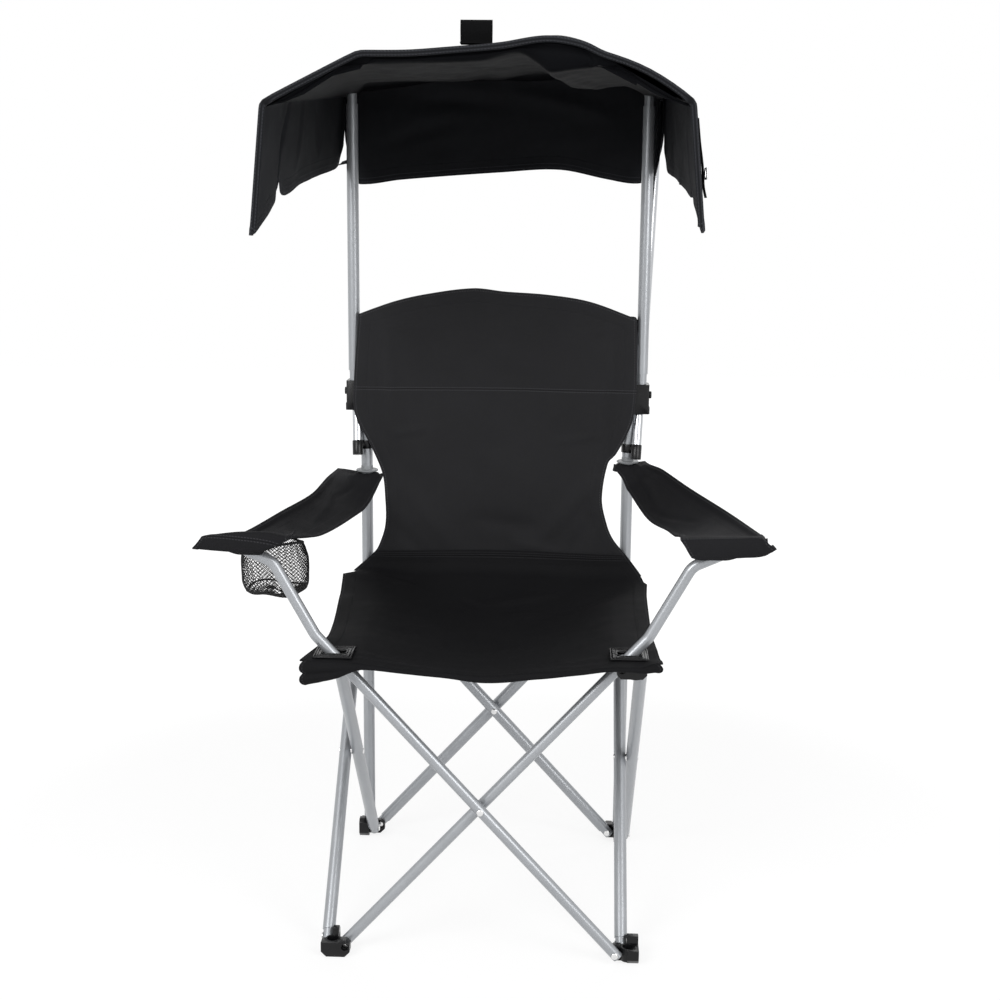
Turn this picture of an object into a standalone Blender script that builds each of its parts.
# Folding camping chair with a canopy: steel tube linkage, moulded joints, sewn cloth.
# Metres, +Z up, the front of the chair towards -Y, the origin on the ground under its middle.
import math

import bmesh
import bpy
from mathutils import Matrix, Vector

# Clearances
GAP = 0.0003
OVERRUN = 0.002

# Tubes and posts
LEG_SPACING = 0.430
LEGS_FORWARD = 0.020
TUBE_R = 0.008
TUBE_WALL = 0.0012
POST_TOP = 0.889
TUBE_SIDES = 12

# Scissor linkage
FOOT_PIVOT_Z = 0.015
HUB_PIVOT_Z = 0.444
PIVOT_CLEAR = 0.0087
FOLD_TILT = math.radians(78)
FOOT_TAIL = 0.007
HUB_TAIL = 0.005

# Arm tubes, which carry on from the front bars
ARM_STRAIGHT = 0.055
ARM_RISER = 0.1177
ARM_TIP = 0.050
RISER_TILT = math.radians(61.0)
TIP_TILT = math.radians(24.0)
BEND_R = 0.028
BEND_STEPS = 4

# Moulded feet, hubs and sliders
WEB = 0.0024
SOCKET_WALL = 0.0025
SLIDE_CLEAR = 0.0006
BLOCK_OUT = 0.0155
LUG_BEYOND_PIVOT = 0.007
NARROW_LUG = 0.0075
FOOT_CHAMFER = 0.0075
FOOT_SOCKET_TOP = 0.022
FOOT_FLOOR = 0.004
LOW_LUG_TOP = 0.024
TALL_LUG_TOP = 0.032
LUG_CORNER = 0.006
HUB_BELOW = 0.013
HUB_ABOVE = 0.011
CHEEK = 0.0024
WINDOW_R = 0.0056
WINDOW_FLOOR = 0.0045
NARROW_FLOOR = 0.0035

# Rivets
RIVET_R = 0.0024
RIVET_HEAD_R = 0.0050
RIVET_HEAD = 0.0022
RIVET_TAIL_R = 0.0042
RIVET_TAIL = 0.0018
SPACER_R = 0.0058
RIVET_SIDES = 8

# Canopy poles and rods
POLE_OUT = 0.0195
ROD_R = 0.0065
ROD_WALL = 0.001
ROD_LEAN_BACK_share = 0.3134
ROD_LEAN_OUT_share = 0.055
ROD_TOP_Y = 0.1605
RAIL_Z = 1.250
RAIL_FRONT_X = 0.150
RAIL_FRONT_Y = -0.335
RAIL_REAR_Y = 0.381
SPIGOT = 0.022
ROD_TOP_CLEAR = 0.0096

# Clamp blocks, knobs and rod ends
CLAMP_LOW = 0.740
CLAMP_SKIRT = 0.0115
CLAMP_HEIGHT = 0.048
CLAMP_OUT = 0.032
CLAMP_IN = 0.0110
CLAMP_FRONT = 0.0108
CLAMP_BACK = 0.0245
CLAMP_LIP = 0.0012
KNOB_UP = 0.030
KNOB_R = 0.0064
KNOB_DEPTH = 0.0042
KNOB_STEM_R = 0.0025
KNOB_STEM = 0.0036
ROD_END_LOW = 0.668
ROD_END_TOP = 0.690
ROD_END_WALL = 0.0018
RING_LOW = 0.676
RING_WALL = 0.0024
LINK_R = 0.0055

# Arm collars on the posts
COLLAR_R = 0.018
COLLAR_FLANGE = 0.0028
COLLAR_NECK_R = 0.0118
COLLAR_NECK = 0.0065

# Cloth
CLOTH = 0.0024
SEAT_Z = 0.4569
SEAT_FRONT_Y = -0.2575
SEAT_HALF = 0.250
SEAT_SAG = 0.037
SEAT_SIDE_SAG = 0.006
SEAT_HEM = 0.036
BACK_Y = 0.2013
BACK_LOW = 0.4585
BACK_OVER_POST = 0.051
BACK_HALF = 0.234
BACK_SAG = 0.020
SAG_HALF = 0.190
POCKET_WALL = 0.0023
POCKET_LOW = 0.852
POCKET_CAP = 0.0078
PLATE_SIZE = 0.054
PLATE = 0.0020

# Armrests: height and reach of the cloth that runs from the post to the arm tube
ARM_CLOTH_REAR_Y = 0.236
ARM_POCKET_FRONT_Y = -0.2515
ARM_POCKET_TIP_X = 0.4040
ARM_BASE_Z = 0.590
ARM_LIFT = 0.046
ARM_POCKET_MARGIN = 0.0135
ARM_POCKET_LAP = 0.006
COLLAR_LIFT = 0.0022

# Cup net
NET_R = 0.048
NET_X = -0.302
NET_Y = -0.153
NET_LOW = 0.524
NET_WALL = 0.0014
NET_SIDES = 16

# Canopy
CANOPY_FRONT_Y = -0.350
CANOPY_REAR_Y = 0.389
CANOPY_SIDE_CLEAR = 0.0035
CANOPY_SLOPE = 0.50
CANOPY_CROWN = 0.024
CANOPY_BULGE = 0.008
CREASE_OUT = 0.0022
CREASE_LIFT = 0.0006
FLAP_FLARE = 0.016
FLAP_DROP = 0.164
SEAM_LOW = 1.195
BACK_PANEL_LOW = 1.103
PANEL_RISE = 0.027
FLAP_LEVEL = 1.200
SLIT = 0.020
STRAP_HANG = 0.006
LOOP_WIDTH = 0.039
LOOP_HEIGHT = 0.031
LOOP_SPREAD = 0.008
LOOP_FOOT = 0.007
LOOP_X = -0.009
LOOP_Y = -0.326
WEBBING = 0.0016
STRAP_WIDTH = 0.020
STRAP_Y = -0.315
STRAP_TOP = 1.183
STRAP_LENGTH = 0.096
BUCKLE_Z = 1.1165
BUCKLE_WIDTH = 0.027
BUCKLE_HEIGHT = 0.015
BUCKLE_BAR = 0.0024

# Worked out from the sizes above
HALF = LEG_SPACING / 2
BORE_R = TUBE_R + GAP
SOCKET_R = BORE_R + SOCKET_WALL
PIVOT_IN = SOCKET_R + PIVOT_CLEAR
PIVOT_HALF = HALF - PIVOT_IN
BAR_OFFSET = WEB / 2 + GAP + TUBE_R
BAR_RUN = 2 * PIVOT_HALF
BAR_RISE = HUB_PIVOT_Z - FOOT_PIVOT_Z
BAR_LENGTH = math.hypot(BAR_RUN, BAR_RISE)
BAR_TILT = math.atan2(BAR_RISE, BAR_RUN)
LUG_REACH = PIVOT_IN + LUG_BEYOND_PIVOT
RIVET_HOLE_R = RIVET_R + 2 * GAP
HEAD_SEAT = BAR_OFFSET + TUBE_R + GAP
POLE_X = HALF + POLE_OUT
POLE_TOP = RAIL_Z - ROD_R - GAP
RAIL_SLANT = (POLE_X - RAIL_FRONT_X) / (HALF - RAIL_FRONT_Y)
CANOPY_HALF = POLE_X + RAIL_SLANT * (RAIL_REAR_Y - HALF) + ROD_R + CANOPY_SIDE_CLEAR
BACK_HEIGHT = POST_TOP + BACK_OVER_POST - BACK_LOW
CLAMP_STEP = CLAMP_LOW + CLAMP_SKIRT
CLAMP_TOP = CLAMP_LOW + CLAMP_HEIGHT
KNOB_Z = CLAMP_LOW + KNOB_UP
CANOPY_SHOULDER_Z = RAIL_Z + ROD_R + GAP + CREASE_LIFT + CLOTH / 2
CROSS_Z = (FOOT_PIVOT_Z + HUB_PIVOT_Z) / 2

ARM_EYELET_Z = {-1: ARM_BASE_Z + 0.96 * ARM_LIFT, 1: ARM_BASE_Z + 1.42 * ARM_LIFT}

# Which way each corner faces: a quarter turn after another from the front left
CORNERS = {"front_left": 0, "front_right": 1, "back_right": 2, "back_left": 3}
SIDES = {"left": -1, "right": 1}


def place(x, y, z):
    """Point given from the middle of the legs."""
    return Vector((x, y - LEGS_FORWARD, z))


def smooth(shares, t):
    """Value at t of a smooth curve through a table of (t, share) pairs."""
    if t <= shares[0][0]:
        return shares[0][1]
    if t >= shares[-1][0]:
        return shares[-1][1]
    k = next(i for i in range(1, len(shares)) if t <= shares[i][0])
    (t0, v0), (t1, v1) = shares[k - 1], shares[k]
    before, after = shares[max(k - 2, 0)], shares[min(k + 1, len(shares) - 1)]
    rise_0 = (v1 - before[1]) / (t1 - before[0]) * (t1 - t0)
    rise_1 = (after[1] - v0) / (after[0] - t0) * (t1 - t0)
    s = (t - t0) / (t1 - t0)
    start = v0 * (1 + 2 * s) * (1 - s) ** 2 + rise_0 * s * (1 - s) ** 2
    return start + v1 * s * s * (3 - 2 * s) + rise_1 * s * s * (s - 1)


# Scene, collections and materials
for old in list(bpy.data.objects):
    bpy.data.objects.remove(old, do_unlink=True)

PARTS = bpy.data.collections.new("canopy_camping_chair")
CUTTERS = bpy.data.collections.new("cutters")
for group in (PARTS, CUTTERS):
    bpy.context.scene.collection.children.link(group)


def material(name, colour, roughness, metallic):
    made = bpy.data.materials.new(name)
    made.use_nodes = True
    shader = made.node_tree.nodes["Principled BSDF"]
    shader.inputs["Base Color"].default_value = (*colour, 1)
    shader.inputs["Roughness"].default_value = roughness
    shader.inputs["Metallic"].default_value = metallic
    return made


FINISHES = {
    "painted_tube": ((0.40, 0.41, 0.43), 0.38, 0.45),
    "chrome_rod": ((0.75, 0.76, 0.78), 0.14, 1.0),
    "black_plastic": ((0.022, 0.022, 0.024), 0.45, 0),
    "grey_plastic": ((0.36, 0.37, 0.38), 0.45, 0),
    "rivet_steel": ((0.80, 0.80, 0.80), 0.22, 1.0),
    "black_cloth": ((0.014, 0.014, 0.016), 0.85, 0),
    "canopy_cloth": ((0.016, 0.017, 0.019), 0.80, 0),
    "black_webbing": ((0.012, 0.012, 0.013), 0.80, 0),
    "net_mesh": ((0.03, 0.03, 0.03), 0.70, 0),
}


# Basic solids
def scratch(name, data):
    made = bpy.data.objects.new(name, data)
    CUTTERS.objects.link(made)
    return made


def evaluated_mesh(source):
    """Mesh of an object as it looks with its modifiers; the object goes."""
    bpy.context.view_layer.update()
    graph = bpy.context.evaluated_depsgraph_get()
    mesh = bpy.data.meshes.new_from_object(source.evaluated_get(graph))
    mesh.transform(source.matrix_world)
    bpy.data.objects.remove(source, do_unlink=True)
    bm = bmesh.new()
    bm.from_mesh(mesh)
    bmesh.ops.remove_doubles(bm, verts=bm.verts, dist=GAP / 100)
    bmesh.ops.recalc_face_normals(bm, faces=bm.faces)
    bm.to_mesh(mesh)
    bm.free()
    return mesh


def prism(outline, low, high, plane):
    """Closed outline pushed from low to high, square to the plane XY, XZ or YZ."""
    curve = bpy.data.curves.new("outline", "CURVE")
    curve.dimensions = "2D"
    curve.fill_mode = "BOTH"
    curve.extrude = (high - low) / 2
    spline = curve.splines.new("POLY")
    spline.points.add(len(outline) - 1)
    for point, (u, v) in zip(spline.points, outline):
        point.co = (u, v, 0, 1)
    spline.use_cyclic_u = True
    mesh = evaluated_mesh(scratch("outline", curve))
    middle = (low + high) / 2
    turn = {
        "XY": Matrix.Identity(4),
        "XZ": Matrix(((1, 0, 0, 0), (0, 0, -1, 0), (0, 1, 0, 0), (0, 0, 0, 1))),
        "YZ": Matrix(((0, 0, 1, 0), (1, 0, 0, 0), (0, 1, 0, 0), (0, 0, 0, 1))),
    }[plane]
    shift = {"XY": (0, 0, middle), "XZ": (0, middle, 0), "YZ": (middle, 0, 0)}[plane]
    mesh.transform(Matrix.Translation(shift) @ turn)
    return mesh


def slab(x, y, z):
    """Box from (low, high) pairs."""
    bm = bmesh.new()
    bmesh.ops.create_cube(bm, size=1)
    size = Vector((x[1] - x[0], y[1] - y[0], z[1] - z[0]))
    middle = Vector((x[0] + x[1], y[0] + y[1], z[0] + z[1])) / 2
    bmesh.ops.transform(
        bm, matrix=Matrix.Translation(middle) @ Matrix.Diagonal((*size, 1)), verts=bm.verts
    )
    mesh = bpy.data.meshes.new("slab")
    bm.to_mesh(mesh)
    bm.free()
    return mesh


def aim(start, end):
    """Matrix that puts a unit Z line from start to end."""
    way = end - start
    return Matrix.Translation(start) @ way.to_track_quat("Z", "Y").to_matrix().to_4x4()


def rod(start, end, radius, sides):
    """Cylinder between two points."""
    start, end = Vector(start), Vector(end)
    length = (end - start).length
    bm = bmesh.new()
    bmesh.ops.create_cone(
        bm, cap_ends=True, segments=sides, radius1=radius, radius2=radius, depth=length,
        matrix=aim(start, end) @ Matrix.Translation((0, 0, length / 2)),
    )
    mesh = bpy.data.meshes.new("rod")
    bm.to_mesh(mesh)
    bm.free()
    return mesh


def turned(profile, steps, closed=False):
    """Profile of (radius, height), down its outer side, turned about Z."""
    mesh = bpy.data.meshes.new("profile")
    edges = [(i, i + 1) for i in range(len(profile) - 1)]
    if closed:
        edges.append((len(profile) - 1, 0))
    mesh.from_pydata([(r, 0, z) for r, z in profile], edges, [])
    lathe = scratch("profile", mesh)
    screw = lathe.modifiers.new("turn", "SCREW")
    screw.angle = math.tau
    screw.steps = steps
    screw.render_steps = steps
    screw.use_merge_vertices = True
    screw.merge_threshold = GAP / 10
    return evaluated_mesh(lathe)


def bent_rod(points, radius, sides):
    """Solid rod along points, round in section."""
    curve = bpy.data.curves.new("route", "CURVE")
    curve.dimensions = "3D"
    curve.bevel_depth = radius
    curve.bevel_resolution = sides // 2 - 2
    curve.use_fill_caps = True
    spline = curve.splines.new("POLY")
    spline.points.add(len(points) - 1)
    for point, co in zip(spline.points, points):
        point.co = (*co, 1)
    return evaluated_mesh(scratch("route", curve))


def boolean(mesh, other, operation):
    """Mesh joined with, or cut by, another by an exact boolean."""
    body, tool = scratch("body", mesh), scratch("tool", other)
    step = body.modifiers.new("boolean", "BOOLEAN")
    step.operation = operation
    step.solver = "EXACT"
    step.object = tool
    made = evaluated_mesh(body)
    bpy.data.objects.remove(tool, do_unlink=True)
    return made


def joined(first, *others):
    for other in others:
        first = boolean(first, other, "UNION")
    return first


def cut(mesh, *cutters):
    for cutter in cutters:
        mesh = boolean(mesh, cutter, "DIFFERENCE")
    return mesh


def moved(mesh, matrix):
    """Copy of a mesh, transformed; a mirror keeps its faces turned out."""
    copy = mesh.copy()
    copy.transform(matrix)
    if matrix.determinant() < 0:
        copy.flip_normals()
    return copy


# Named parts and the axes that carry them
AXES = {}


def axis(name, point, parent=None):
    """Empty on a joint's axis, which the body's pieces ride."""
    made = bpy.data.objects.new(f"{name}_axis", None)
    made.empty_display_size = BORE_R
    PARTS.objects.link(made)
    made.location = point
    if parent:
        made.parent = AXES[parent]
        made.location = Vector(point) - AXES[parent].matrix_world.translation
    bpy.context.view_layer.update()
    AXES[name] = made


def add(name, mesh, finish, body=None, smooth_angle=40):
    """Part named for its node, with its own material, on a body's axis."""
    mesh.name = name
    mesh.shade_smooth()
    mesh.set_sharp_from_angle(angle=math.radians(smooth_angle))
    mesh.materials.clear()
    mesh.materials.append(material(name, *FINISHES[finish]))
    made = bpy.data.objects.new(name, mesh)
    PARTS.objects.link(made)
    if body:
        made.parent = AXES[body]
        made.location = -AXES[body].matrix_world.translation
    return made


# Corner mouldings
# A corner stands at the origin with +X and +Y pointing inboard. Its wide lug holds the bar that
# runs along +X on the web's inner face, and its narrow lug the bar that runs along +Y on the
# outer face. A hub or slider is the same corner mirrored about the diagonal.
SWAP = Matrix(((0, 1, 0, 0), (1, 0, 0, 0), (0, 0, 1, 0), (0, 0, 0, 1)))


def corner_matrix(corner, mirrored=False):
    """Puts a corner's own frame at its leg, a quarter turn per corner."""
    turn = Matrix.Rotation(CORNERS[corner] * math.pi / 2, 4, "Z")
    leg = turn @ Vector((-HALF, -HALF, 0))
    whole = Matrix.Translation(place(leg.x, leg.y, 0)) @ turn
    return whole @ SWAP if mirrored else whole


def foot_lug(top):
    """Side view of a foot's lug: chamfered sole, low wall at the socket, raised lug."""
    return [
        (-BLOCK_OUT, FOOT_CHAMFER),
        (-BLOCK_OUT + FOOT_CHAMFER, 0),
        (LUG_REACH - FOOT_CHAMFER, 0),
        (LUG_REACH, FOOT_CHAMFER),
        (LUG_REACH, top - LUG_CORNER),
        (LUG_REACH - LUG_CORNER, top),
        (BORE_R + WEB, top),
        (BORE_R + WEB / 2, FOOT_SOCKET_TOP),
        (-BLOCK_OUT, FOOT_SOCKET_TOP),
    ]


def foot_mesh(wide_top, narrow_top):
    """Foot with two lugs, a socket for the leg and windows over the rivets' tails."""
    wide = prism(foot_lug(wide_top), -BLOCK_OUT, WEB / 2, "XZ")
    narrow = prism(foot_lug(narrow_top), -WEB / 2, NARROW_LUG, "YZ")
    socket = rod((0, 0, FOOT_FLOOR / 2), (0, 0, FOOT_SOCKET_TOP), SOCKET_R, TUBE_SIDES)
    body = joined(wide, narrow, socket)
    bore = rod((0, 0, FOOT_FLOOR), (0, 0, TALL_LUG_TOP + OVERRUN), BORE_R, TUBE_SIDES)
    return cut(body, bore, *windows(FOOT_PIVOT_Z), *pin_holes(FOOT_PIVOT_Z))


def windows(z):
    """Recesses over the rivets' tails in the wide and the narrow lug."""
    wide, narrow = -BLOCK_OUT - OVERRUN, NARROW_LUG + OVERRUN
    return (
        rod((PIVOT_IN, -WINDOW_FLOOR, z), (PIVOT_IN, wide, z), WINDOW_R, RIVET_SIDES),
        rod((NARROW_FLOOR, PIVOT_IN, z), (narrow, PIVOT_IN, z), WINDOW_R, RIVET_SIDES),
    )


def pin_holes(z):
    """Rivet holes of the wide and the narrow lug."""
    return (
        rod((PIVOT_IN, WEB, z), (PIVOT_IN, -BLOCK_OUT, z), RIVET_HOLE_R, RIVET_SIDES),
        rod((-WEB, PIVOT_IN, z), (NARROW_LUG, PIVOT_IN, z), RIVET_HOLE_R, RIVET_SIDES),
    )


def hub_lug():
    """Side view of a hub's lug about the pivot's height."""
    low, high = HUB_PIVOT_Z - HUB_BELOW, HUB_PIVOT_Z + HUB_ABOVE
    return [
        (-BLOCK_OUT, low + LUG_CORNER),
        (-BLOCK_OUT + LUG_CORNER, low),
        (LUG_REACH - LUG_CORNER, low),
        (LUG_REACH, low + LUG_CORNER),
        (LUG_REACH, high),
        (-BLOCK_OUT, high),
    ]


def hub_block():
    """Lugs and core of a hub or slider, in the foot's sense of hand."""
    wide = prism(hub_lug(), -BLOCK_OUT, WEB / 2, "XZ")
    narrow = prism(hub_lug(), -WEB / 2, NARROW_LUG, "YZ")
    low, high = HUB_PIVOT_Z - HUB_BELOW, HUB_PIVOT_Z + HUB_ABOVE
    core = rod((0, 0, low - WEB), (0, 0, high), SOCKET_R, TUBE_SIDES)
    return joined(wide, narrow, core)


def slider_mesh():
    """Slider: the core is bored for the post that it runs on, and its rivets are fused in."""
    z = HUB_PIVOT_Z
    low, high = z - HUB_BELOW - WEB - OVERRUN, z + HUB_ABOVE + OVERRUN
    bore = rod((0, 0, low), (0, 0, high), TUBE_R + SLIDE_CLEAR, TUBE_SIDES)
    body = cut(hub_block(), bore, *windows(z))
    wide = moved(rivet_mesh(HEAD_SEAT, WINDOW_FLOOR - GAP), wide_spot(z))
    narrow = moved(rivet_mesh(HEAD_SEAT, NARROW_FLOOR - GAP), narrow_spot(z))
    return joined(body, wide, narrow)


def hub_mesh(arm_on_wide):
    """Front hub: one lug lets the arm tube pass, the other houses the top of a side bar."""
    z = HUB_PIVOT_Z
    roof = z + HUB_ABOVE
    ceiling = roof - CHEEK * 2 / 3
    floor = z - HUB_BELOW + LUG_CORNER
    outer = HEAD_SEAT + CHEEK
    near = SOCKET_R - WEB
    if arm_on_wide:
        cheek = slab((-outer, -HEAD_SEAT), (near, LUG_REACH), (floor, roof))
        cover = slab((-outer, 0), (near, LUG_REACH), (ceiling, roof))
        side_hole = rod(
            (-outer - OVERRUN, PIVOT_IN, z), (0, PIVOT_IN, z), RIVET_HOLE_R, RIVET_SIDES
        )
    else:
        cheek = slab((near, LUG_REACH), (HEAD_SEAT, outer), (floor, roof))
        cover = slab((near, LUG_REACH), (0, outer), (ceiling, roof))
        side_hole = rod((PIVOT_IN, outer + OVERRUN, z), (PIVOT_IN, 0, z), RIVET_HOLE_R, RIVET_SIDES)
    body = joined(hub_block(), cover, cheek)
    # The arm leans outboard over the corner, so its sweep is cleared from open to folded
    passes = []
    sweep = (BAR_TILT, (2 * BAR_TILT + FOLD_TILT) / 3, (BAR_TILT + 2 * FOLD_TILT) / 3, FOLD_TILT)
    reach = LUG_REACH + BLOCK_OUT
    for tilt in sweep:
        along, up = -math.cos(tilt), math.sin(tilt)
        if arm_on_wide:
            start = Vector((PIVOT_IN, BAR_OFFSET, z))
            way = Vector((along, 0, up))
        else:
            start = Vector((-BAR_OFFSET, PIVOT_IN, z))
            way = Vector((0, along, up))
        passes.append(rod(start, start + way * reach, TUBE_R + 2 * GAP, TUBE_SIDES))
    return cut(body, *passes, *windows(z), *pin_holes(z), side_hole)


# Rivets
def rivet_mesh(head_seat, tail_seat, spacer=None, two_heads=False):
    """Domed rivet along Z: the head bears at head_seat, the tail at -tail_seat."""
    dome = [
        (0, head_seat + RIVET_HEAD),
        (RIVET_HEAD_R * 0.62, head_seat + RIVET_HEAD * 0.86),
        (RIVET_HEAD_R, head_seat + RIVET_HEAD * 0.3),
        (RIVET_HEAD_R, head_seat),
        (RIVET_R, head_seat),
    ]
    middle = []
    if spacer:
        middle = [(RIVET_R, spacer), (SPACER_R, spacer), (SPACER_R, -spacer), (RIVET_R, -spacer)]
    if two_heads:
        end = [(r, -z) for r, z in reversed(dome)]
    else:
        end = [
            (RIVET_R, -tail_seat),
            (RIVET_TAIL_R, -tail_seat),
            (RIVET_TAIL_R, -tail_seat - RIVET_TAIL),
            (0, -tail_seat - RIVET_TAIL),
        ]
    return turned(dome + middle + end, RIVET_SIDES)


def wide_spot(z):
    """Puts a rivet in a corner's wide lug, its head over the bar."""
    return aim(Vector((PIVOT_IN, 0, z)), Vector((PIVOT_IN, 1, z)))


def narrow_spot(z):
    """Puts a rivet in a corner's narrow lug, its head over the bar."""
    return aim(Vector((0, PIVOT_IN, z)), Vector((-1, PIVOT_IN, z)))


def corner_rivet(corner, mirrored, wide, height, housed=False):
    """Rivet of a corner's wide or narrow lug, in the chair's frame."""
    head = HEAD_SEAT + (CHEEK + GAP if housed else 0)
    floor = WINDOW_FLOOR if wide else NARROW_FLOOR
    spot = wide_spot(height) if wide else narrow_spot(height)
    return moved(rivet_mesh(head, floor + GAP), corner_matrix(corner, mirrored) @ spot)


# Linkage bars
def bar_frame(plane, offset, direction):
    """Start at the foot pivot, unit way up the bar and the plane's normal."""
    tilt_x, tilt_z = math.cos(BAR_TILT), math.sin(BAR_TILT)
    if plane == "XZ":
        start = place(-direction * PIVOT_HALF, offset, FOOT_PIVOT_Z)
        return start, Vector((direction * tilt_x, 0, tilt_z)), Vector((0, 1, 0))
    start = place(offset, -direction * PIVOT_HALF, FOOT_PIVOT_Z)
    return start, Vector((0, direction * tilt_x, tilt_z)), Vector((1, 0, 0))


def bar_holes(start, way, normal):
    """One cutter of three pins: foot, crossing and hub."""
    reach = normal * (TUBE_R + OVERRUN)
    bm = bmesh.new()
    for share in (0, 0.5, 1):
        point = start + way * BAR_LENGTH * share
        bm.from_mesh(rod(point - reach, point + reach, RIVET_HOLE_R, RIVET_SIDES))
    mesh = bpy.data.meshes.new("pins")
    bm.to_mesh(mesh)
    bm.free()
    return mesh


def hollow(length, radius, wall):
    """Straight tube wall along +Z, a turned ring."""
    return turned(
        [(radius, length), (radius, 0), (radius - wall, 0), (radius - wall, length)],
        TUBE_SIDES, closed=True,
    )


def straight_bar(plane, offset, direction):
    start, way, normal = bar_frame(plane, offset, direction)
    low, high = start - way * FOOT_TAIL, start + way * (BAR_LENGTH + HUB_TAIL)
    tube = moved(hollow((high - low).length, TUBE_R, TUBE_WALL), aim(low, high))
    return cut(tube, bar_holes(start, way, normal))


def rounded(points, radius, steps):
    """Polyline with its inner corners rounded by arcs of the given radius."""
    route = [points[0]]
    for before, corner, after in zip(points, points[1:], points[2:]):
        back, ahead = (before - corner).normalized(), (after - corner).normalized()
        half = back.angle(ahead) / 2
        reach = radius / math.tan(half)
        centre = corner + (back + ahead).normalized() * radius / math.sin(half)
        first, last = corner + back * reach, corner + ahead * reach
        for i in range(steps + 1):
            spoke = (first - centre).slerp(last - centre, i / steps)
            route.append(centre + spoke.normalized() * radius)
    return route + [points[-1]]


def arm_route(direction, offset, beyond=0):
    """Front bar and the arm that carries on from it: foot end, bends and tip."""
    start, way, _ = bar_frame("XZ", offset, direction)
    riser = Vector((direction * math.cos(RISER_TILT), 0, math.sin(RISER_TILT)))
    tip = Vector((direction * math.cos(TIP_TILT), 0, math.sin(TIP_TILT)))
    first = start + way * (BAR_LENGTH + ARM_STRAIGHT)
    second = first + riser * ARM_RISER
    ends = [start - way * (FOOT_TAIL + beyond), first, second, second + tip * (ARM_TIP + beyond)]
    return rounded(ends, BEND_R, BEND_STEPS)


def arm_bar(direction, offset):
    start, way, normal = bar_frame("XZ", offset, direction)
    skin = bent_rod(arm_route(direction, offset), TUBE_R, TUBE_SIDES)
    bore = bent_rod(arm_route(direction, offset, OVERRUN), TUBE_R - TUBE_WALL, TUBE_SIDES)
    return cut(skin, bore, bar_holes(start, way, normal))


# Body axes, placed where the record's joints are
def corner_pivot(corner, wide, height, mirrored=False):
    """World place of the wide or narrow lug's pivot, on the leg's plane."""
    local = Vector((PIVOT_IN, 0, height)) if wide else Vector((0, PIVOT_IN, height))
    return corner_matrix(corner, mirrored) @ local


axis("back_bar_outer", corner_pivot("back_left", False, FOOT_PIVOT_Z))
axis("back_bar_inner", place(0, HALF, CROSS_Z), "back_bar_outer")
axis("right_column", corner_pivot("back_right", True, FOOT_PIVOT_Z), "back_bar_inner")
axis("slider_left", corner_pivot("back_left", False, HUB_PIVOT_Z), "back_bar_inner")
axis("slider_right", corner_pivot("back_right", True, HUB_PIVOT_Z), "back_bar_outer")
axis("left_bar_inner", corner_pivot("back_left", True, FOOT_PIVOT_Z))
axis("left_bar_outer", place(-HALF, 0, CROSS_Z), "left_bar_inner")
axis("foot_front_left", corner_pivot("front_left", False, FOOT_PIVOT_Z), "left_bar_outer")
axis("hub_front_left", corner_pivot("front_left", False, HUB_PIVOT_Z), "left_bar_inner")
axis("right_bar_outer", corner_pivot("back_right", False, FOOT_PIVOT_Z), "right_column")
axis("right_bar_inner", place(HALF, 0, CROSS_Z), "right_bar_outer")
axis("foot_front_right", corner_pivot("front_right", True, FOOT_PIVOT_Z), "right_bar_inner")
axis("hub_front_right", corner_pivot("front_right", True, HUB_PIVOT_Z), "right_bar_outer")
axis("front_bar_inner", corner_pivot("front_left", True, FOOT_PIVOT_Z), "foot_front_left")
axis("front_bar_outer", corner_pivot("front_right", False, FOOT_PIVOT_Z), "foot_front_right")
axis("canopy_left", place(-HALF, HALF, CLAMP_LOW))
axis("canopy_right", place(HALF, HALF, CLAMP_LOW), "right_column")

FOOT_BODIES = {
    "front_left": "foot_front_left", "front_right": "foot_front_right",
    "back_right": "right_column", "back_left": None,
}
HUB_BODIES = {
    "front_left": "hub_front_left", "front_right": "hub_front_right",
    "back_right": "slider_right", "back_left": "slider_left",
}

# Feet and posts
for corner, turn in CORNERS.items():
    tall_first = turn % 2 == 1
    shape = foot_mesh(
        TALL_LUG_TOP if tall_first else LOW_LUG_TOP, LOW_LUG_TOP if tall_first else TALL_LUG_TOP
    )
    add(f"foot_{corner}", moved(shape, corner_matrix(corner)), "black_plastic", FOOT_BODIES[corner])
    for label, wide in (("x", turn % 2 == 0), ("y", turn % 2 == 1)):
        add(
            f"foot_rivet_{corner}_{label}",
            corner_rivet(corner, False, wide, FOOT_PIVOT_Z), "rivet_steel", FOOT_BODIES[corner],
        )

for side, sign in SIDES.items():
    post = hollow(POST_TOP - FOOT_FLOOR - GAP, TUBE_R, TUBE_WALL)
    spot = Matrix.Translation(place(sign * HALF, HALF, FOOT_FLOOR + GAP))
    add(f"post_{side}", moved(post, spot), "painted_tube", "right_column" if sign > 0 else None)

# Hubs, with the arm on the wide lug at the front right only, and sliders with fused rivets
for corner in ("front_left", "front_right"):
    on_wide = corner == "front_right"
    shape = moved(hub_mesh(on_wide), corner_matrix(corner, True))
    add(f"hub_{corner}", shape, "black_plastic", HUB_BODIES[corner])
    for label, wide in (("arm", on_wide), ("side", not on_wide)):
        add(
            f"hub_rivet_{corner}_{label}",
            corner_rivet(corner, True, wide, HUB_PIVOT_Z, housed=label == "side"),
            "rivet_steel", HUB_BODIES[corner],
        )

# Sliders and the linkage bars
for corner in ("back_left", "back_right"):
    shape = moved(slider_mesh(), corner_matrix(corner, True))
    add(f"slider_{corner}", shape, "black_plastic", HUB_BODIES[corner])

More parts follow.
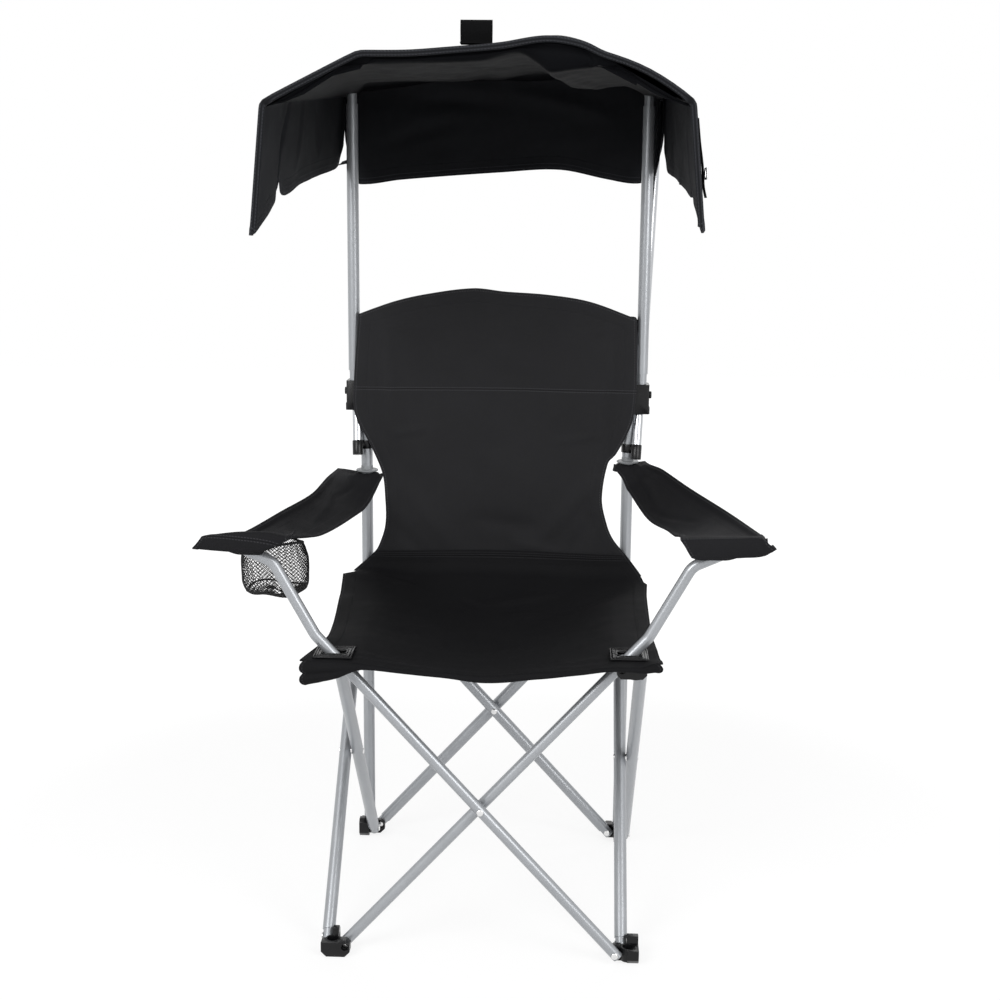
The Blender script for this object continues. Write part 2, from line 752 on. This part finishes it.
# Name of each bar: its plane, its place across the chair and the way it climbs
STRAIGHT_BARS = {
    "back_bar_outer": ("XZ", HALF + BAR_OFFSET, 1),
    "back_bar_inner": ("XZ", HALF - BAR_OFFSET, -1),
    "left_bar_inner": ("YZ", -HALF + BAR_OFFSET, -1),
    "left_bar_outer": ("YZ", -HALF - BAR_OFFSET, 1),
    "right_bar_inner": ("YZ", HALF - BAR_OFFSET, 1),
    "right_bar_outer": ("YZ", HALF + BAR_OFFSET, -1),
}
for name, (plane, offset, direction) in STRAIGHT_BARS.items():
    add(name, straight_bar(plane, offset, direction), "painted_tube", name)

ARM_BARS = {
    "front_bar_outer": (-HALF - BAR_OFFSET, -1),
    "front_bar_inner": (-HALF + BAR_OFFSET, 1),
}
for name, (offset, direction) in ARM_BARS.items():
    add(name, arm_bar(direction, offset), "painted_tube", name)

# Rivet where each pair of bars crosses: where it is, which way it points, what carries it
CROSSINGS = {
    "front": ((0, -HALF), (0, 1), "front_bar_outer"),
    "back": ((0, HALF), (0, 1), "back_bar_outer"),
    "left": ((-HALF, 0), (1, 0), "left_bar_inner"),
    "right": ((HALF, 0), (1, 0), "right_bar_outer"),
}
for name, (spot, way, body) in CROSSINGS.items():
    point = place(*spot, CROSS_Z)
    shape = rivet_mesh(HEAD_SEAT, 0, spacer=BAR_OFFSET - TUBE_R - GAP, two_heads=True)
    add(
        f"crossing_rivet_{name}", moved(shape, aim(point, point + Vector((*way, 0)))),
        "rivet_steel", body,
    )


# Canopy poles, rods and rails
def rail_x(y):
    """How far out the rail runs at y: over the pole's top and the rod's."""
    return POLE_X + RAIL_SLANT * (y - HALF)


ROD_UP = Vector((ROD_LEAN_OUT_share, ROD_LEAN_BACK_share, 1)).normalized()


def rod_point(sign, z):
    """Point of a rod's axis at height z."""
    top = place(rail_x(HALF + ROD_TOP_Y), HALF + ROD_TOP_Y, RAIL_Z)
    point = top + ROD_UP * ((z - RAIL_Z) / ROD_UP.z)
    return Vector((sign * point.x, point.y, point.z))


def tube_between(start, end, radius, wall):
    return moved(hollow((end - start).length, radius, wall), aim(start, end))


def rail_mesh(sign):
    """Rail with a plug for the pole's top and one for the rod's."""
    front = place(sign * rail_x(RAIL_FRONT_Y), RAIL_FRONT_Y, RAIL_Z)
    rear = place(sign * rail_x(RAIL_REAR_Y), RAIL_REAR_Y, RAIL_Z)
    pole = place(sign * POLE_X, HALF, RAIL_Z)
    pole_plug = rod(pole - Vector((0, 0, SPIGOT)), pole, TUBE_R - TUBE_WALL - GAP, TUBE_SIDES)
    rod_plug = rod(
        rod_point(sign, RAIL_Z - SPIGOT), rod_point(sign, RAIL_Z), ROD_R - ROD_WALL - GAP, TUBE_SIDES
    )
    return joined(rod(front, rear, ROD_R, TUBE_SIDES), pole_plug, rod_plug)


def clamp_mesh(sign):
    """Clamp block: bored for the post and the leaning rod, with a peg for the pole."""
    def footprint(lip):
        x_in, x_out = HALF - CLAMP_IN, HALF + CLAMP_OUT + lip
        y_front, y_back = HALF - CLAMP_FRONT, HALF + CLAMP_BACK + lip
        c = LUG_CORNER / 2
        points = [
            (x_in, y_front), (x_out - c, y_front), (x_out, y_front + c),
            (x_out, y_back - c), (x_out - c, y_back), (x_in + c, y_back), (x_in, y_back - c),
        ]
        return [(sign * x, y - LEGS_FORWARD) for x, y in points]

    lower = prism(footprint(CLAMP_LIP), CLAMP_LOW, CLAMP_STEP, "XY")
    upper = prism(footprint(0), CLAMP_STEP - WEB, CLAMP_TOP, "XY")
    post = place(sign * HALF, HALF, 0)
    pole = place(sign * POLE_X, HALF, 0)
    peg = rod(
        pole + Vector((0, 0, CLAMP_TOP - WEB)), pole + Vector((0, 0, CLAMP_TOP + SPIGOT / 2)),
        TUBE_R - TUBE_WALL - GAP, TUBE_SIDES,
    )
    low, high = Vector((0, 0, CLAMP_LOW - OVERRUN)), Vector((0, 0, CLAMP_TOP + OVERRUN))
    post_bore = rod(post + low, post + high, TUBE_R + SLIDE_CLEAR, TUBE_SIDES)
    rod_bore = rod(
        rod_point(sign, CLAMP_LOW - OVERRUN), rod_point(sign, CLAMP_TOP + 2 * OVERRUN),
        ROD_R + GAP, TUBE_SIDES,
    )
    face = knob_centre(sign)
    stem_bore = rod(
        face + Vector((sign * OVERRUN, 0, 0)), face - Vector((sign * (KNOB_STEM + GAP), 0, 0)),
        KNOB_STEM_R + GAP, RIVET_SIDES,
    )
    return cut(joined(lower, upper, peg), post_bore, rod_bore, stem_bore)


def knob_centre(sign):
    """Where the knob's axis meets the clamp block's outer face."""
    y = HALF + (CLAMP_BACK - CLAMP_FRONT) / 2
    return place(sign * (HALF + CLAMP_OUT), y, KNOB_Z)


def knob_mesh(sign):
    """Lobed knob with a plain stem, along +Z from the block's face."""
    lobes, points = 6, 24
    rim = []
    for i in range(points):
        turn = i * math.tau / points
        radius = KNOB_R * (0.95 + 0.05 * math.cos(lobes * turn))
        rim.append((radius * math.cos(turn), radius * math.sin(turn)))
    grip = prism(rim, GAP, GAP + KNOB_DEPTH, "XY")
    stem = rod((0, 0, -KNOB_STEM), (0, 0, GAP + KNOB_DEPTH / 2), KNOB_STEM_R, RIVET_SIDES)
    face = knob_centre(sign)
    return moved(joined(grip, stem), aim(face, face + Vector((sign, 0, 0))))


def rod_end_mesh(sign):
    """Cap on the rod's foot with a ring that runs on the post."""
    low, high = rod_point(sign, ROD_END_LOW), rod_point(sign, ROD_END_TOP)
    cap = rod(low, high, ROD_R + GAP + ROD_END_WALL, TUBE_SIDES)
    post = place(sign * HALF, HALF, 0)
    ring_low, ring_high = Vector((0, 0, RING_LOW)), Vector((0, 0, ROD_END_TOP))
    ring = rod(post + ring_low, post + ring_high, TUBE_R + SLIDE_CLEAR + RING_WALL, TUBE_SIDES)
    middle = (RING_LOW + ROD_END_TOP) / 2
    link = rod(post + Vector((0, 0, middle)), rod_point(sign, middle), LINK_R, RIVET_SIDES)
    seat = rod_point(sign, ROD_END_LOW + ROD_END_WALL)
    rod_bore = rod(seat, seat + ROD_UP_OF[sign] * SPIGOT * 2, ROD_R + GAP, TUBE_SIDES)
    overrun = Vector((0, 0, OVERRUN))
    post_bore = rod(
        post + ring_low - overrun, post + ring_high + overrun, TUBE_R + SLIDE_CLEAR, TUBE_SIDES
    )
    return cut(joined(cap, ring, link), rod_bore, post_bore)


def collar_mesh(sign):
    """Flanged collar that keeps the armrest's eyelet down on the post."""
    low = ARM_EYELET_Z[sign] + CLOTH / 2 + COLLAR_LIFT
    ring = turned(
        [
            (BORE_R, low + COLLAR_FLANGE + COLLAR_NECK),
            (COLLAR_NECK_R, low + COLLAR_FLANGE + COLLAR_NECK),
            (COLLAR_NECK_R, low + COLLAR_FLANGE),
            (COLLAR_R, low + COLLAR_FLANGE),
            (COLLAR_R, low),
            (BORE_R, low),
        ],
        TUBE_SIDES, closed=True,
    )
    return moved(ring, Matrix.Translation(place(sign * HALF, HALF, 0)))


ROD_UP_OF = {sign: Vector((sign * ROD_UP.x, ROD_UP.y, ROD_UP.z)) for sign in SIDES.values()}
for side, sign in SIDES.items():
    body = f"canopy_{side}"
    add(f"clamp_block_{side}", clamp_mesh(sign), "black_plastic", body)
    pole = tube_between(
        place(sign * POLE_X, HALF, CLAMP_TOP + GAP), place(sign * POLE_X, HALF, POLE_TOP),
        TUBE_R, TUBE_WALL,
    )
    add(f"canopy_pole_{side}", pole, "painted_tube", body)
    rod_low = rod_point(sign, ROD_END_LOW + ROD_END_WALL) + ROD_UP_OF[sign] * GAP
    rod_high = rod_point(sign, RAIL_Z) - ROD_UP_OF[sign] * ROD_TOP_CLEAR
    add(f"canopy_rod_{side}", tube_between(rod_low, rod_high, ROD_R, ROD_WALL), "chrome_rod", body)
    add(f"canopy_rail_{side}", rail_mesh(sign), "painted_tube", body)
    add(f"rod_end_{side}", rod_end_mesh(sign), "black_plastic", body)
    axis(f"knob_{side}", knob_centre(sign), body)
    add(f"clamp_knob_{side}", knob_mesh(sign), "black_plastic", f"knob_{side}")
    collar_body = "right_column" if sign > 0 else None
    add(f"arm_collar_{side}", collar_mesh(sign), "grey_plastic", collar_body)


# Cloth sheets
def surface(columns, rows, where):
    """Open grid of columns by rows, each point placed by where(column, row)."""
    bm = bmesh.new()
    bmesh.ops.create_grid(bm, x_segments=columns, y_segments=rows, size=1)
    for vertex in bm.verts:
        column = round((vertex.co.x + 1) / 2 * columns)
        row = round((vertex.co.y + 1) / 2 * rows)
        vertex.co = where(column, row)
    mesh = bpy.data.meshes.new("surface")
    bm.to_mesh(mesh)
    bm.free()
    return mesh


def thickened(surfaces, thickness=CLOTH, offset=0):
    """Surfaces welded where their edges meet, then given the cloth's thickness."""
    bm = bmesh.new()
    for each in surfaces:
        bm.from_mesh(each)
    bmesh.ops.remove_doubles(bm, verts=bm.verts, dist=GAP / 10)
    bmesh.ops.recalc_face_normals(bm, faces=bm.faces)
    mesh = bpy.data.meshes.new("cloth")
    bm.to_mesh(mesh)
    bm.free()
    cloth = scratch("cloth", mesh)
    shell = cloth.modifiers.new("thickness", "SOLIDIFY")
    shell.thickness = thickness
    shell.offset = offset
    shell.use_even_offset = True
    return evaluated_mesh(cloth)


# Backrest
BACK_TOP_shares = [
    (-1, 0.911), (-0.75, 0.954), (-0.52, 0.979), (-0.18, 1.0),
    (0.05, 0.990), (0.37, 0.981), (0.67, 0.960), (1, 0.906),
]
BACK_LEFT_shares = [
    (0, 1.068), (0.084, 0.88), (0.109, 0.838), (0.188, 0.786), (0.294, 0.786),
    (0.367, 0.803), (0.456, 0.876), (0.568, 0.991), (0.668, 1.0), (0.907, 0.962), (1, 0.95),
]
BACK_RIGHT_shares = [
    (0, 1.068), (0.084, 0.944), (0.151, 0.829), (0.209, 0.778), (0.294, 0.744),
    (0.418, 0.782), (0.446, 0.833), (0.543, 0.932), (0.601, 0.957), (0.71, 0.966),
    (0.907, 0.953), (1, 0.94),
]


def back_y(x, share):
    """The back hangs in a shallow hollow between the posts, deepest low down."""
    hollow_share = max(0, 1 - (x / SAG_HALF) ** 2) ** 2
    return BACK_Y + BACK_SAG * hollow_share * (1 - 0.6 * share)


def back_point(column, row, columns=14, rows=15):
    u = 2 * column / columns - 1
    top_share = smooth(BACK_TOP_shares, u)
    share = top_share * row / rows
    half = BACK_HALF * smooth(BACK_LEFT_shares if u < 0 else BACK_RIGHT_shares, share)
    x = half * u
    return place(x, back_y(x, share), BACK_LOW + BACK_HEIGHT * share)


def post_pocket(sign):
    """Sewn pocket over a post's top."""
    low, high = POCKET_LOW, POST_TOP + POCKET_CAP
    radius = BORE_R + POCKET_WALL
    post = place(sign * HALF, HALF, 0)
    sleeve = rod(post + Vector((0, 0, low)), post + Vector((0, 0, high)), radius, TUBE_SIDES)
    bridge = slab(
        sorted((sign * (HALF - radius * 0.9), sign * (HALF + radius * 0.7))),
        (BACK_Y - LEGS_FORWARD, post.y), (low + WEB, high - WEB),
    )
    return sleeve, bridge


pockets = []
bores = []
for sign in SIDES.values():
    pockets.extend(post_pocket(sign))
    post = place(sign * HALF, HALF, 0)
    bores.append(
        rod(
            post + Vector((0, 0, POCKET_LOW - OVERRUN)), post + Vector((0, 0, POST_TOP + GAP)),
            BORE_R, TUBE_SIDES,
        )
    )
back = thickened([surface(14, 15, back_point)])
add("backrest", cut(joined(back, *pockets), *bores), "black_cloth", None, smooth_angle=60)

# Seat
SEAT_LEFT_shares = [(0, 0.996), (0.25, 0.92), (0.47, 0.936), (0.94, 0.992), (1, 1.0)]
SEAT_RIGHT_shares = [(0, 1.0), (0.19, 0.988), (0.48, 0.98), (0.86, 0.988), (1, 1.0)]
SEAT_SAG_shares = [(0, 0.43), (0.25, 0.8), (0.5, 1), (0.78, 0.72), (1, 0)]
HEM_shares = [
    (-1, 0.95), (-0.8, 0.72), (-0.65, 0.36), (-0.3, 0.42), (0.05, 0.40), (0.33, 0.42),
    (0.53, 0.28), (0.72, 0.12), (0.9, 0.2), (1, 0.26),
]
SAG_REACH_share = 0.74


def seat_point(column, row, columns=16, rows=11):
    """Row 0 is the bottom of the front hem; the rest run back from the front edge."""
    u = 2 * column / columns - 1
    v = max(row - 1, 0) / (rows - 1)
    half = SEAT_HALF * smooth(SEAT_LEFT_shares if u < 0 else SEAT_RIGHT_shares, v)
    x = half * u
    y = SEAT_FRONT_Y + (back_y(x, 0) - SEAT_FRONT_Y) * v
    middle = max(0, 1 - (u / SAG_REACH_share) ** 2) ** 1.5
    side = abs(u) ** 3 * math.sin(math.pi * v) ** 4
    z = SEAT_Z - SEAT_SAG * smooth(SEAT_SAG_shares, v) * middle - SEAT_SIDE_SAG * side
    if row == 0:
        z -= SEAT_HEM * smooth(HEM_shares, u)
        y -= CLOTH / 3
    return place(x, y, z)


def arm_slot(direction, offset, low, high):
    """Slot that the arm tube passes, wide enough for its lean from open to folded."""
    inner = PIVOT_HALF + (low - HUB_PIVOT_Z) / math.tan(FOLD_TILT) - TUBE_R / math.sin(FOLD_TILT)
    outer = PIVOT_HALF + (high - HUB_PIVOT_Z) / math.tan(BAR_TILT) + TUBE_R / math.sin(BAR_TILT)
    reach = TUBE_R + 2 * GAP
    middle = place(0, offset, 0).y
    return slab(
        sorted((direction * (inner - 2 * GAP), direction * (outer + 2 * GAP))),
        (middle - reach, middle + reach), (low - OVERRUN, high + OVERRUN),
    )


PLATE_LOW = SEAT_Z + CLOTH / 2 + GAP
seat = thickened([surface(16, 11, seat_point)])
slots = [
    arm_slot(direction, offset, SEAT_Z - CLOTH / 2, PLATE_LOW + PLATE)
    for offset, direction in ARM_BARS.values()
]
add("seat", cut(seat, *slots), "black_cloth", "slider_left", smooth_angle=60)

# Plates that back the seat's slots
for (offset, direction), slot, side in zip(ARM_BARS.values(), slots, SIDES):
    centre = place(direction * (PIVOT_HALF + TUBE_R * 1.25), offset, 0)
    half = PLATE_SIZE / 2
    plate = slab(
        (centre.x - half, centre.x + half), (centre.y - half, centre.y + half),
        (PLATE_LOW, PLATE_LOW + PLATE),
    )
    opening = arm_slot(direction, offset, SEAT_Z, PLATE_LOW + PLATE)
    add(f"seat_plate_{side}", cut(plate, opening), "black_plastic", f"hub_front_{side}")

# Armrests: outer and inner edge of the strip from the post (0) to the pocket (1), as shares of
# the pocket tip's reach and of the arm's lift
ARM_shares = {
    -1: {
        "outer_x": [(0, 0.661), (0.2, 0.681), (0.41, 0.70), (0.685, 0.76), (0.9, 0.812), (1, 0.845)],
        "outer_z": [(0, 1.0), (0.083, 0.98), (0.2, 0.87), (0.41, 0.74), (0.7, 0.69), (1, 0.575)],
        "inner_x": [(0, 0.470), (0.083, 0.478), (0.2, 0.50), (0.41, 0.546), (0.685, 0.6), (1, 0.65)],
        "inner_z": [(0, 0.87), (0.083, 0.85), (0.2, 0.2), (0.3, 0.0), (0.7, 0.03), (1, 0.42)],
    },
    1: {
        "outer_x": [(0, 0.606), (0.06, 0.619), (0.153, 0.658), (0.4, 0.755), (0.7, 0.87), (1, 0.98)],
        "outer_z": [(0, 1.45), (0.06, 1.45), (0.153, 1.40), (0.4, 1.14), (0.7, 0.90), (1, 0.68)],
        "inner_x": [(0, 0.478), (0.06, 0.478), (0.12, 0.52), (0.37, 0.60), (0.6, 0.686), (1, 0.74)],
        "inner_z": [(0, 1.36), (0.06, 1.34), (0.14, 0.70), (0.37, 0.04), (0.6, 0.05), (1, 0.02)],
    },
}
# The pocket that takes the arm tube's tip, seen from the front, in the same shares
POCKET_shares = {
    -1: [(0.649, 0.06), (0.649, 0.576), (0.854, 0.68), (1, 0.489), (1, 0.315), (0.854, 0.12)],
    1: [(0.735, -0.14), (0.735, 0.30), (0.80, 0.66), (1, 0.66), (1, 0.48), (0.854, 0.12)],
}


def pocket_rear(sign):
    """Rear wall of the arm tube's pocket."""
    offset = -HALF - BAR_OFFSET if sign < 0 else -HALF + BAR_OFFSET
    return offset + TUBE_R + ARM_POCKET_MARGIN


def arm_strip(sign, column, row, columns, rows, widen=0, drop=0):
    """Point of the strip; widen carries it past both edges, drop lowers it."""
    shares = ARM_shares[sign]
    v = row / rows
    across = column / columns * (1 + 2 * widen) - widen
    outer = Vector((smooth(shares["outer_x"], v), smooth(shares["outer_z"], v)))
    inner = Vector((smooth(shares["inner_x"], v), smooth(shares["inner_z"], v)))
    here = outer.lerp(inner, across)
    front = pocket_rear(sign) - ARM_POCKET_LAP
    y = ARM_CLOTH_REAR_Y + (front - ARM_CLOTH_REAR_Y) * v
    return place(sign * here.x * ARM_POCKET_TIP_X, y, ARM_BASE_Z + here.y * ARM_LIFT - drop)


def armrest_mesh(sign):
    columns, rows = 4, 12
    strip = thickened(
        [surface(columns, rows, lambda i, j: arm_strip(sign, i, j, columns, rows))]
    )
    outline = [
        (sign * x * ARM_POCKET_TIP_X, ARM_BASE_Z + z * ARM_LIFT) for x, z in POCKET_shares[sign]
    ]
    front, rear = ARM_POCKET_FRONT_Y - LEGS_FORWARD, pocket_rear(sign) - LEGS_FORWARD
    pocket = prism(outline, front, rear, "XZ")
    offset, direction = ARM_BARS["front_bar_outer" if sign < 0 else "front_bar_inner"]
    tip = bent_rod(arm_route(direction, offset, OVERRUN), TUBE_R + 2 * GAP, TUBE_SIDES)
    post = place(sign * HALF, HALF, 0)
    eyelet = rod(
        post + Vector((0, 0, ARM_BASE_Z)), post + Vector((0, 0, ARM_BASE_Z + 2 * ARM_LIFT)),
        BORE_R + GAP, TUBE_SIDES,
    )
    return cut(joined(strip, pocket), tip, eyelet)


for side, sign in SIDES.items():
    body = "right_column" if sign > 0 else None
    add(f"armrest_{side}", armrest_mesh(sign), "black_cloth", body, smooth_angle=60)

# Cup net: a deep round cup, its rim trimmed to the armrest's underside
NET_shares = [(1, 0.45), (0.97, 0.22), (0.86, 0.10), (0.62, 0.02), (0, 0)]
NET_HEIGHT = ARM_BASE_Z + ARM_LIFT - NET_LOW
outside = [(NET_R, NET_HEIGHT)] + [(NET_R * r, NET_HEIGHT * z) for r, z in NET_shares]
inside = [(NET_R - NET_WALL, NET_HEIGHT)]
inside += [(NET_R * r - NET_WALL * (r > 0), NET_HEIGHT * z + NET_WALL) for r, z in NET_shares]
cup = moved(
    turned(list(reversed(inside)) + outside, NET_SIDES),
    Matrix.Translation(place(NET_X, NET_Y, NET_LOW)),
)
lid = thickened(
    [surface(4, 12, lambda i, j: arm_strip(-1, i, j, 4, 12, widen=0.5, drop=-ARM_LIFT / 2 + CLOTH))],
    thickness=ARM_LIFT,
)
add("cup_net", cut(cup, lid), "net_mesh", "front_bar_outer", smooth_angle=60)

# Canopy: cloth over the two rails, with a flap at each side and a panel behind
CROWN_FRONT_shares = [(-1, 0), (-0.6, 0.02), (-0.25, 0.18), (0.15, 0.4), (0.53, 0.75), (0.82, 0.5), (1, 0)]
CROWN_REAR_shares = [(-1, 0), (-0.67, 0.5), (-0.35, 0.9), (0.2, 0.95), (0.6, 1.2), (0.84, 0.5), (1, 0)]
FLAP_LEFT_shares = [
    (0, 1.0), (0.05, 0.95), (0.12, 0.66), (0.15, 0.53), (0.19, 0.70),
    (0.45, 0.60), (0.80, 0.47), (0.88, 0.44), (0.94, 0.38), (1, 0.22),
]
FLAP_RIGHT_shares = [
    (0, 0.93), (0.05, 0.96), (0.12, 0.64), (0.15, 0.53), (0.19, 0.68),
    (0.45, 0.58), (0.80, 0.46), (0.88, 0.43), (0.94, 0.37), (1, 0.22),
]
PANEL_shares = [
    (-1, 1.4), (-0.96, 0.26), (-0.88, 0), (-0.65, 0.3), (-0.02, 0.81),
    (0.35, 1.0), (0.65, 0.44), (0.83, 0.19), (0.93, 0.5), (1, 1.4),
]
COLUMN_shares = [-1, -0.75, -0.5, -0.25, 0, 0.25, 0.5, 0.75, 1]
ROW_shares = [0, 0.05, 0.12, 0.15, 0.19, 0.27, 0.36, 0.45, 0.55, 0.65, 0.75, 0.85, 0.94, 1]
EDGE_shares = {-1: (1.0, 1.008), 1: (0.97, 1.0)}
TOP_COLUMNS = len(COLUMN_shares) + 3
LEVELS = 4


def canopy_y(s):
    return CANOPY_FRONT_Y + (CANOPY_REAR_Y - CANOPY_FRONT_Y) * s


def crease_x(s):
    """Where the cloth breaks over the rail."""
    return rail_x(canopy_y(s)) + CREASE_OUT


def edge_point(side, s):
    """Top edge of a side flap."""
    front, rear = EDGE_shares[side]
    x = CANOPY_HALF * (front + (rear - front) * s)
    return x, CANOPY_SHOULDER_Z - CANOPY_SLOPE * (x - crease_x(s))


def canopy_height(x, s):
    """Height of the cloth between the rails."""
    u = max(-1, min(1, x / crease_x(s)))
    crown = smooth(CROWN_FRONT_shares, u) * (1 - s) + smooth(CROWN_REAR_shares, u) * s
    return CANOPY_SHOULDER_Z + CANOPY_CROWN * crown


def canopy_top(column, row):
    s = ROW_shares[row]
    y = canopy_y(s)
    last = TOP_COLUMNS
    if column in (0, last):
        side = -1 if column == 0 else 1
        x, z = edge_point(side, s)
        return place(side * x, y, z)
    if column in (1, last - 1):
        side = -1 if column == 1 else 1
        x, z = edge_point(side, s)
        mid = (x + crease_x(s)) / 2
        bulge = CANOPY_BULGE * (1 - s) * (side > 0)
        return place(side * mid, y, (z + CANOPY_SHOULDER_Z) / 2 + bulge)
    x = crease_x(s) * COLUMN_shares[column - 2]
    return place(x, y, canopy_height(x, s))


def canopy_flap(side, shares):
    def where(column, row):
        s = ROW_shares[column]
        x, top = edge_point(side, s)
        bottom = FLAP_LEVEL - FLAP_DROP * smooth(shares, s)
        seam = top - (top - bottom) * 0.45 * (1 - s) - (top - SEAM_LOW) * s
        half = LEVELS / 2
        if row <= half:
            z = top + (seam - top) * row / half
            slit = 0
        else:
            z = seam + (bottom - seam) * (row - half) / half
            slit = ((row - half) / half) ** 2 * s ** 8
        out = FLAP_FLARE * (top - z) / FLAP_DROP * (1 - s)
        return place(side * (x + out), canopy_y(s) - SLIT * slit, z)
    return surface(len(ROW_shares) - 1, LEVELS, where)


def canopy_panel(column, row):
    top_point = canopy_top(column, len(ROW_shares) - 1)
    u = top_point.x / CANOPY_HALF
    bottom = BACK_PANEL_LOW + PANEL_RISE * smooth(PANEL_shares, u)
    half = LEVELS / 2
    if row <= half:
        z, slit = top_point.z + (SEAM_LOW - top_point.z) * row / half, 0
    else:
        z = SEAM_LOW + (bottom - SEAM_LOW) * (row - half) / half
        slit = ((row - half) / half) ** 2 * (column in (0, TOP_COLUMNS))
    x = top_point.x - math.copysign(SLIT / 2, top_point.x) * slit
    return Vector((x, top_point.y, z))


add(
    "canopy",
    thickened([
        surface(TOP_COLUMNS, len(ROW_shares) - 1, canopy_top),
        canopy_flap(-1, FLAP_LEFT_shares),
        canopy_flap(1, FLAP_RIGHT_shares),
        surface(TOP_COLUMNS, LEVELS, canopy_panel),
    ]),
    "canopy_cloth", "canopy_left", smooth_angle=50,
)


# Webbing
def band(points, thickness):
    """Outline of a strip of webbing along a line of points."""
    left, right = [], []
    for i, point in enumerate(points):
        before = points[max(i - 1, 0)]
        after = points[min(i + 1, len(points) - 1)]
        way = (Vector(after) - Vector(before)).normalized()
        side = Vector((-way.y, way.x)) * thickness / 2
        left.append(tuple(Vector(point) + side))
        right.append(tuple(Vector(point) - side))
    return left + right[::-1]


def top_loop():
    """Carrying loop sewn to the canopy's top near its front edge."""
    rear = LOOP_Y + LOOP_SPREAD / 2 + LOOP_FOOT
    s = (rear - CANOPY_FRONT_Y) / (CANOPY_REAR_Y - CANOPY_FRONT_Y)
    ends = [canopy_height(LOOP_X + d * LOOP_WIDTH / 2, s) for d in (-1, 1)]
    base = max(ends) + CLOTH / 2 + WEBBING / 2 + 2 * GAP
    spread, top = LOOP_SPREAD / 2, LOOP_HEIGHT - WEBBING
    line = [
        (-spread - LOOP_FOOT, 0), (-spread, 0), (-spread * 0.6, WEBBING * 2), (-spread, top * 0.55),
        (-spread * 0.7, top * 0.92), (0, top), (spread * 0.7, top * 0.92), (spread, top * 0.55),
        (spread * 0.6, WEBBING * 2), (spread, 0), (spread + LOOP_FOOT, 0),
    ]
    middle = place(LOOP_X, LOOP_Y, base)
    outline = [(y + middle.y, z + middle.z) for y, z in band(line, WEBBING)]
    return prism(outline, middle.x - LOOP_WIDTH / 2, middle.x + LOOP_WIDTH / 2, "YZ")


def strap_line():
    """Side strap's route down the outside of the right flap, in x and z."""
    s = (STRAP_Y - CANOPY_FRONT_Y) / (CANOPY_REAR_Y - CANOPY_FRONT_Y)
    x, top = edge_point(1, s)
    line = []
    for share, off in ((0, 0), (0.3, 0.1), (0.6, 0.35), (0.85, 0.3), (1, 0.6)):
        z = STRAP_TOP - STRAP_LENGTH * share
        out = FLAP_FLARE * (top - z) / FLAP_DROP
        lift = CLOTH / 2 + WEBBING / 2 + 2 * GAP + STRAP_HANG * off
        line.append((x + out + lift, z))
    return line


def buckle_mesh():
    """Ladder buckle round the strap: a frame with a slot that the webbing passes."""
    line = strap_line()
    (x0, z0), (x1, z1) = next(p for p in zip(line, line[1:]) if p[1][1] <= BUCKLE_Z)
    x = x0 + (x1 - x0) * (z0 - BUCKLE_Z) / (z0 - z1)
    reach = WEBBING / 2 + 4 * GAP
    middle = place(x, STRAP_Y, BUCKLE_Z)
    width, height = BUCKLE_WIDTH / 2, BUCKLE_HEIGHT / 2
    deep = reach + BUCKLE_BAR
    frame = slab(
        (middle.x - reach - GAP, middle.x + deep), (middle.y - width, middle.y + width),
        (middle.z - height, middle.z + height),
    )
    passage = slab(
        (middle.x - deep, middle.x + reach),
        (middle.y - STRAP_WIDTH / 2 - 2 * GAP, middle.y + STRAP_WIDTH / 2 + 2 * GAP),
        (middle.z - height - OVERRUN, middle.z + height + OVERRUN),
    )
    window = slab(
        (middle.x - deep, middle.x + deep + OVERRUN),
        (middle.y - width + BUCKLE_BAR, middle.y + width - BUCKLE_BAR),
        (middle.z - height / 3, middle.z + height / 3),
    )
    return cut(frame, passage, window)


add("canopy_loop", top_loop(), "black_webbing", "canopy_left")
strap = prism(
    band(strap_line(), WEBBING), STRAP_Y - LEGS_FORWARD - STRAP_WIDTH / 2,
    STRAP_Y - LEGS_FORWARD + STRAP_WIDTH / 2, "XZ",
)
add("canopy_strap", strap, "black_webbing", "canopy_left")
add("strap_buckle", buckle_mesh(), "rivet_steel", "canopy_left")
